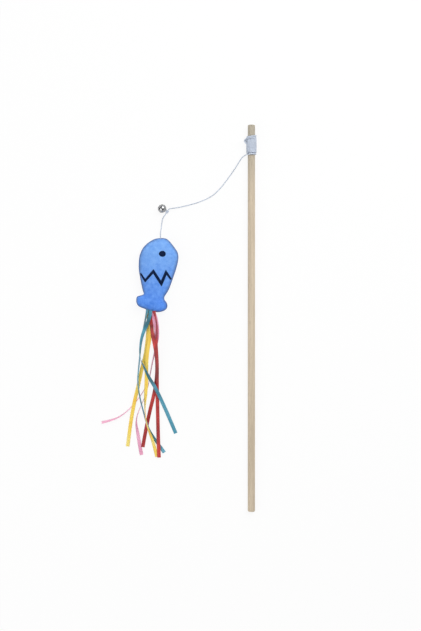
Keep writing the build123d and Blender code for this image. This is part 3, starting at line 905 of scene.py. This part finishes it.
fish_mesh = pillow.data.copy()
bpy.data.objects.remove(pillow)
fish_bm = bmesh.new()
fish_bm.from_mesh(fish_mesh)
bmesh.ops.scale(fish_bm, vec=(1 / enlarged, 1 / enlarged, 1 / enlarged), verts=fish_bm.verts)
bmesh.ops.smooth_vert(
    fish_bm, verts=fish_bm.verts, factor=smoothing, use_axis_x=True, use_axis_y=True, use_axis_z=True)
bmesh.ops.translate(fish_bm, vec=(0, 0, seam_height), verts=fish_bm.verts)
for vertex in fish_bm.verts:
    vertex.co.z = max(vertex.co.z, least_height)
fish_bm.to_mesh(fish_mesh)
fish_bm.free()
fish = piece_of("fish_plush", fish_mesh, plush, "fish")
finer = fish.modifiers.new("finer", "SUBSURF")
finer.levels = 1
finer.render_levels = 1
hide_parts("front_panel", "back_panel", "body_stuffing", "tail_stuffing")
heights = [round(vertex.co.z * 1000, 2) for vertex in fish_mesh.vertices]
print("fish from", min(heights), "to", max(heights), "mm")

# %% [markdown]
# ## The seam
#
# Where the two panels meet, the cloth is drawn in and the edge of the sewn cloth makes a fine welt all
# round.

# %% Seam welt
welt_radius = 0.00042
welt_strands = 220

welt_curve = outline_curve("welt", 0)
welt_curve.dimensions = "3D"
welt_curve.bevel_depth = welt_radius
welt_curve.bevel_resolution = 2
welt_mesh = mesh_of(welt_curve)
welt_mesh.transform(Matrix.Translation((0, 0, seam_height)))
stretch_uv(welt_mesh, welt_strands, 1)
piece_of("seam_welt", welt_mesh, seam_thread, "fish")
print("welt", len(welt_mesh.polygons), "faces")

# %% [markdown]
# ## Eye and zigzag
#
# Both are satin stitch: rows of short threads laid side by side over the plush, across the zigzag and up and
# down the eye. Each thread dives into the cloth at both its ends. The places come from the outline drawn
# flat, and a ray square to it finds the plush at each of them, so the stitches lie on the stuffed form.

# %% Find the plush at a place
fish_surface = BVHTree.FromObject(fish, bpy.context.evaluated_depsgraph_get())
thread_radius = 0.00024
thread_step = 0.00034
thread_strands = 6
ray_height = 0.1


def on_plush(x, y, above, side):
    """The place on the fish's front or back over a point of its outline, raised off the plush."""
    start = Vector((x, y, seam_height + side * ray_height))
    hit = fish_surface.ray_cast(start, Vector((0, 0, -side)))[0]
    if hit is None:
        hit = fish_surface.find_nearest(Vector((x, y, seam_height)))[0]
    return hit + Vector((0, 0, side * above))


def add_stitch(line, first, last, side):
    """One thread from first to last, which lies on the plush and dives into it at both ends."""
    depths = (-0.0006, 0.00016, 0.00022, 0.00016, -0.0006)
    shares = (-0.02, 0.06, 0.5, 0.94, 1.02)
    places = [first.lerp(last, share) for share in shares]
    add_spline(line, [on_plush(place.x, place.y, depth, side) for place, depth in zip(places, depths)])


def stitched(name, rows, side):
    """The mesh of rows of stitches, each from the first to the second of a pair of flat places."""
    line = bpy.data.curves.new(name, "CURVE")
    line.dimensions = "3D"
    line.resolution_u = 3
    line.bevel_depth = thread_radius
    line.bevel_resolution = 1
    line.use_fill_caps = True
    for first, last in rows:
        add_stitch(line, Vector((*first, 0)), Vector((*last, 0)), side)
    mesh = mesh_of(line)
    stretch_uv(mesh, thread_strands, 1)
    return mesh


print("stitch", thread_step, "m apart")

# %% [markdown]
# ### Rows of stitches
#
# The eye's rows are the chords of a circle. The zigzag's rows are square to the band in the middle of each
# run and lean into the corners, and the band is widest at its inner corners. The same rows are sewn on the
# back.

# %% Sew the eye and the zigzag on both sides
eye_middle = Vector((-0.0373, 0.0704))
eye_radius = 0.0036
zigzag = vectors(
    (-0.0614, 0.0494), (-0.0562, 0.0411), (-0.0471, 0.0513),
    (-0.0386, 0.0379), (-0.0333, 0.0503), (-0.0281, 0.0427),
)
least_square = 0.35
corner_half_widths = (0.0008, 0.0013, 0.0016, 0.0017, 0.0016, 0.0010)


def eye_rows():
    """Threads that run up and down across the eye."""
    count = round(2 * eye_radius / thread_step)
    for number in range(count):
        across = -eye_radius + (number + 0.5) * 2 * eye_radius / count
        reach = sqrt(eye_radius ** 2 - across ** 2)
        yield eye_middle + Vector((across, -reach)), eye_middle + Vector((across, reach))


def zigzag_rows():
    """Threads across the zigzag band, leaning in at each corner so that the corners stay pointed."""
    ways = [(after - before).normalized() for before, after in zip(zigzag, zigzag[1:])]
    for number, way in enumerate(ways):
        start, end = zigzag[number], zigzag[number + 1]
        square = Vector((-way.y, way.x))
        corner_in = (ways[number - 1] - way).normalized() if number else square
        corner_out = (way - ways[number + 1]).normalized() if number < len(ways) - 1 else square
        leans = [corner if corner.dot(square) > 0 else -corner for corner in (corner_in, corner_out)]
        count = round((end - start).length / thread_step)
        for step in range(count):
            share = (step + 0.5) / count
            leaning = abs(2 * share - 1) ** 3
            across = square.lerp(leans[share > 0.5], leaning)
            half_width = corner_half_widths[number] * (1 - share) + corner_half_widths[number + 1] * share
            across = across * (half_width / max(across.dot(square), least_square))
            middle = start.lerp(end, share)
            yield middle - across, middle + across


for side, face in ((1, "front"), (-1, "back")):
    for part, rows in (("eye", eye_rows), ("zigzag", zigzag_rows)):
        name = f"{face}_{part}"
        sewn = piece_of(name + "_stitches", stitched(name, rows(), side), navy_thread, "fish")
        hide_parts(name)
        print(sewn.name, len(sewn.data.polygons), "faces")

# %% [markdown]
# ## The ribbons
#
# Eight satin ribbons hang from one stitch in the tail's seam. A ribbon can't bend sideways in its own plane,
# so it turns over instead, and that is what the photograph shows: stretches that lie flat, and stretches
# that stand on edge and look like a line. Each control point therefore has a place and a turn: 0 lies flat
# and 90 stands on edge. Where ribbons cross, the upper one is led over the lower. A thin flat section is
# swept along the line and turned with it.

# %% Section of a ribbon
ribbon_width = 0.0040
ribbon_thickness = 0.00016
section_steps = 8
ribbon_arch = 0.00012
edge_thinning = 0.6
edge_sharpness = 6

section = bpy.data.curves.new("ribbon_section", "CURVE")
section.dimensions = "2D"
section_spline = section.splines.new("POLY")
section_spline.points.add(2 * section_steps + 1)
upper_side = [(step / section_steps - 0.5, 1) for step in range(section_steps + 1)]
lower_side = [(share, -1) for share, side in reversed(upper_side)]
for point, (share, side) in zip(section_spline.points, upper_side + lower_side):
    arch = ribbon_arch * (1 - (2 * share) ** 2)
    edge = 1 - edge_thinning * abs(2 * share) ** edge_sharpness
    point.co = (share * ribbon_width, arch + side * edge * ribbon_thickness / 2, 0, 1)
section_spline.use_cyclic_u = True
section_holder = bpy.data.objects.new("ribbon_section", section)
scene.collection.objects.link(section_holder)
print("section", 2 * section_steps + 2, "points")

# %% [markdown]
# ### Routes
#
# Each row is one control point: across and along from the stitch, the height over the table, and the turn in
# degrees. The ribbons start beside and on top of each other in the tail's seam.

# %% Routes of the ribbons
ribbon_routes = {
    "pink_ribbon_left": [
        (0.0010, 0.0010, 0.0093, 0), (0.0013, -0.0036, 0.00935, 0), (0.0024, -0.0090, 0.0102, 6),
        (0.0034, -0.0160, 0.0102, 8), (0.0053, -0.0245, 0.0088, 5), (0.0048, -0.0320, 0.006, 25),
        (0.0043, -0.0385, 0.0038, 48), (0.0034, -0.0465, 0.0022, 74), (0.0001, -0.0605, 0.0021, 80),
        (-0.0027, -0.0765, 0.0021, 80), (-0.0079, -0.0905, 0.0021, 80), (-0.0172, -0.1035, 0.002, 74),
        (-0.0284, -0.1155, 0.0021, 76), (-0.0414, -0.1236, 0.002, 66), (-0.0553, -0.1265, 0.0016, 45),
    ],
    "pink_ribbon_low": [
        (0.0016, 0.0010, 0.0079, 0), (0.0018, -0.0038, 0.0079, 0), (0.0040, -0.0095, 0.0076, -4),
        (0.0056, -0.0160, 0.007, -12), (0.0062, -0.0240, 0.0063, -10), (0.0062, -0.0330, 0.0049, 25),
        (0.0051, -0.0410, 0.0034, 52), (0.0035, -0.0490, 0.0022, 76), (0.0005, -0.0625, 0.0021, 80),
        (-0.0023, -0.0780, 0.0021, 80), (-0.0060, -0.0950, 0.0021, 80), (-0.0132, -0.1105, 0.0021, 80),
        (-0.0178, -0.1240, 0.002, 70), (-0.0156, -0.1380, 0.001, 25), (-0.0136, -0.1505, 0.0004, 5),
        (-0.0114, -0.1624, 0.00025, 0),
    ],
    "yellow_ribbon_left": [
        (-0.0026, 0.0010, 0.00825, 0), (-0.0028, -0.0032, 0.0082, 2), (-0.0034, -0.0110, 0.0062, 18),
        (-0.0038, -0.0225, 0.0048, 14), (-0.0048, -0.0370, 0.0046, 8), (-0.0070, -0.0530, 0.0044, 10),
        (-0.0110, -0.0675, 0.0044, 10), (-0.0141, -0.0835, 0.0047, 6), (-0.0185, -0.1010, 0.0052, 3),
        (-0.0222, -0.1205, 0.0036, 0), (-0.0248, -0.1375, 0.0006, 0), (-0.0267, -0.1530, 0.0003, 0),
    ],
    "red_ribbon_left": [
        (-0.0002, 0.0010, 0.00895, 0), (-0.0002, -0.0036, 0.00895, 2), (-0.0001, -0.0110, 0.0089, 5),
        (0.0001, -0.0180, 0.0087, 5), (0.0005, -0.0245, 0.0085, 15), (0.0014, -0.0310, 0.0081, 10),
        (0.0031, -0.0395, 0.0069, 8), (0.0048, -0.0490, 0.0055, 8), (0.0060, -0.0630, 0.0036, 10),
        (0.0053, -0.0790, 0.002, 8), (0.0026, -0.0950, 0.0012, 5), (-0.0020, -0.1130, 0.0007, 0),
        (-0.0066, -0.1340, 0.0006, 0), (-0.0100, -0.1537, 0.001, 0),
    ],
    "teal_ribbon_low": [
        (-0.0046, 0.0010, 0.009, 45), (-0.0049, -0.0032, 0.0088, 48), (-0.0061, -0.0100, 0.0076, 57),
        (-0.0090, -0.0230, 0.0054, 64), (-0.0117, -0.0385, 0.0044, 64), (-0.0130, -0.0530, 0.0048, 64),
        (-0.0143, -0.0670, 0.0064, 64), (-0.0153, -0.0790, 0.0072, 64), (-0.0145, -0.0890, 0.0076, 64),
        (-0.0123, -0.1015, 0.0072, 64), (-0.0103, -0.1095, 0.0064, 64), (-0.0073, -0.1215, 0.0034, 62),
        (-0.0033, -0.1345, 0.0029, 50), (0.0048, -0.1475, 0.0011, 25), (0.0138, -0.1597, 0.0005, 8),
    ],
    "yellow_ribbon_right": [
        (-0.0018, 0.0010, 0.0086, 0), (-0.0018, -0.0034, 0.0086, 2), (-0.0016, -0.0105, 0.0077, 16),
        (-0.0014, -0.0220, 0.0068, 10), (-0.0020, -0.0340, 0.006, 4), (-0.0046, -0.0470, 0.0058, 4),
        (-0.0058, -0.0625, 0.0057, 0), (-0.0056, -0.0790, 0.0058, 0), (-0.0064, -0.0935, 0.0066, 20),
        (-0.0071, -0.1050, 0.0082, 58), (-0.0073, -0.1145, 0.0094, 74), (-0.0055, -0.1280, 0.0082, 70),
        (-0.0024, -0.1370, 0.0056, 52), (0.0005, -0.1450, 0.0036, 34), (0.0030, -0.1535, 0.0018, 25),
        (0.0057, -0.1644, 0.0008, 8),
    ],
    "red_ribbon_right": [
        (0.0028, 0.0010, 0.0101, 15), (0.0026, -0.0038, 0.01045, 25), (0.0042, -0.0090, 0.0125, 62),
        (0.0053, -0.0145, 0.0126, 64), (0.0061, -0.0220, 0.0115, 62), (0.0058, -0.0300, 0.0102, 58),
        (0.0054, -0.0385, 0.0093, 50), (0.0058, -0.0480, 0.0087, 38), (0.0062, -0.0635, 0.0066, 20),
        (0.0058, -0.0800, 0.0042, 8), (0.0061, -0.0990, 0.0024, 0), (0.0066, -0.1200, 0.0022, 0),
        (0.0071, -0.1430, 0.0032, 0), (0.0080, -0.1651, 0.0022, 0),
    ],
    "teal_ribbon_right": [
        (-0.0010, 0.0010, 0.00975, 12), (-0.0010, -0.0036, 0.01, 16), (-0.0018, -0.0105, 0.0116, 15),
        (-0.0052, -0.0190, 0.0106, 0), (-0.0092, -0.0275, 0.0094, -30), (-0.0114, -0.0360, 0.0089, -44),
        (-0.0125, -0.0460, 0.0088, -60), (-0.0127, -0.0530, 0.009, -74), (-0.0114, -0.0585, 0.0089, -108),
        (-0.0086, -0.0645, 0.0085, -122), (-0.0030, -0.0765, 0.0076, -150), (0.0034, -0.0865, 0.0064, -165),
        (0.0094, -0.0990, 0.0044, -175), (0.0180, -0.1185, 0.001, -180), (0.0264, -0.1386, 0.00035, -180),
    ],
}
print("routes", len(ribbon_routes))

# %% [markdown]
# ### Sweeping
#
# Each ribbon rides on its own body. Its UV map counts centimetres along it.

# %% Sweep the ribbons
stitch = pivots["teal_low_swing"]
ribbon_repeat = 0.01
for name, route in ribbon_routes.items():
    colour = name.split("_")[0]
    places = [Vector((stitch.x + across, stitch.y + along, height)) for across, along, height, turn in route]
    line = nurbs_line(name, places, turns=[turn for across, along, height, turn in route])
    line.bevel_mode = "OBJECT"
    line.bevel_object = section_holder
    mesh = mesh_of(line)
    points = points_of(places)
    length = length_of(points)
    stretch_uv(mesh, length / ribbon_repeat, 1)
    ribbon = piece_of(name + "_satin", mesh, satins[colour], name)
    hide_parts(name)
    print(ribbon.name, round(length, 4), "m")
bpy.data.objects.remove(section_holder)
